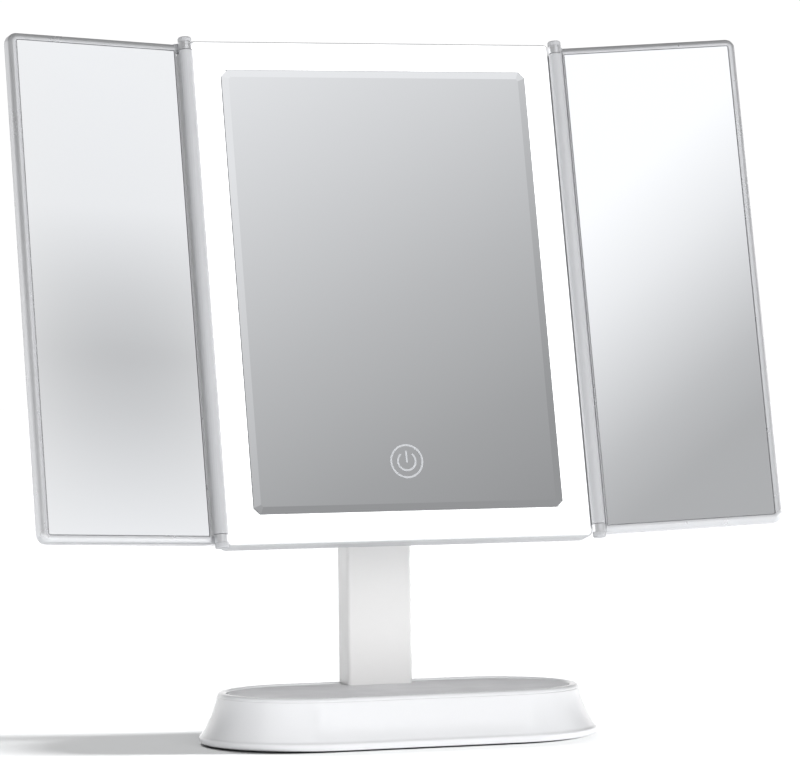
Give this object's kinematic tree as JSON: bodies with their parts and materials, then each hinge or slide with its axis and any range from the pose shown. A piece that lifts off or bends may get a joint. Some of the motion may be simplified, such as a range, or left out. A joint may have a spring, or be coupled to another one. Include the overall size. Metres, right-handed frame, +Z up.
{
  "type": "lighted tri-fold vanity mirror",
  "caption": "Free-standing tri-fold make-up mirror: a lit centre panel with hinged side mirrors, leaning on a flat stem above a tray base.",
  "frame": {"origin": "centre of the foot pad's underside, on the surface the mirror stands on", "axes": "+Z up; -Y is the way the centre mirror faces; +X towards the right-hand side mirror as the user sees it"},
  "size_m": [0.3597, 0.1036, 0.3294],
  "materials": {
    "white_gloss": "glossy white plastic",
    "white_satin": "satin white plastic",
    "tray_grey": "matt grey plastic",
    "rubber_dark": "matt dark rubber",
    "satin_aluminium": "satin anodised",
    "steel": "plain zinc-plated steel",
    "mirror_silver": "polished mirror glass",
    "opal": "opal light-diffusing plastic",
    "board_green": "green circuit board",
    "strip_white": "white board and film",
    "cell_blue": "shrink-wrapped cell",
    "cable_black": "matt black wire sleeve",
    "foam_grey": "closed-cell foam"
  },
  "bodies": {
    "stand": {"base_shell": "white_gloss", "tray_mat": "tray_grey", "base_plate": "white_satin", "foot_pad": "rubber_dark", "ballast_bar": "steel", "battery_pack": "cell_blue", "charging_board": "board_green", "charging_port": "steel", "base_screw_1": "steel", "base_screw_2": "steel", "base_screw_3": "steel", "base_screw_4": "steel", "stem_foot": "steel", "stem_foot_screw_left": "steel", "stem_foot_screw_right": "steel", "stem": "satin_aluminium", "stem_yoke": "steel", "yoke_screw_left": "steel", "yoke_screw_right": "steel", "tilt_pin_left": "steel", "tilt_pin_right": "steel", "tilt_washer_left": "rubber_dark", "tilt_washer_right": "rubber_dark", "stem_wire": "cable_black"},
    "head": {"front_bezel": "white_satin", "light_diffuser": "opal", "centre_mirror": "mirror_silver", "mirror_pad": "foam_grey", "touch_pad": "steel", "led_strip_top": "strip_white", "led_strip_bottom": "strip_white", "led_strip_left": "strip_white", "led_strip_right": "strip_white", "reflector_sheet": "strip_white", "control_board": "board_green", "rear_cover": "white_gloss", "cover_screw_1": "steel", "cover_screw_2": "steel", "cover_screw_3": "steel", "cover_screw_4": "steel", "bracket_stiffener": "steel", "tilt_bracket": "steel", "bracket_screw_1": "steel", "bracket_screw_2": "steel", "bracket_screw_3": "steel", "bracket_screw_4": "steel", "head_wire": "cable_black", "left_hinge_column": "white_satin", "right_hinge_column": "white_satin"},
    "left_wing": {"left_wing_frame": "satin_aluminium", "left_wing_mirror": "mirror_silver", "left_wing_back": "white_gloss", "left_hinge_pin_top": "satin_aluminium", "left_hinge_pin_bottom": "satin_aluminium"},
    "right_wing": {"right_wing_frame": "satin_aluminium", "right_wing_mirror": "mirror_silver", "right_wing_back": "white_gloss", "right_hinge_pin_top": "satin_aluminium", "right_hinge_pin_bottom": "satin_aluminium"}
  },
  "joints": [
    {"name": "head_tilt", "type": "hinge", "parent": "stand", "child": "head", "pos_m": [0, 0.0355, 0.203], "axis": [-1, 0, 0], "range_deg": [-16, 60]},
    {"name": "left_wing_hinge", "type": "hinge", "parent": "head", "child": "left_wing", "pos_m": [-0.0919, 0.00236, 0.21059], "axis": [0, 0.2233, 0.9748], "range_deg": [-10.5, 168]},
    {"name": "right_wing_hinge", "type": "hinge", "parent": "head", "child": "right_wing", "pos_m": [0.0919, 0.00236, 0.21059], "axis": [0, -0.2233, -0.9748], "range_deg": [-12, 166.5]}
  ]
}
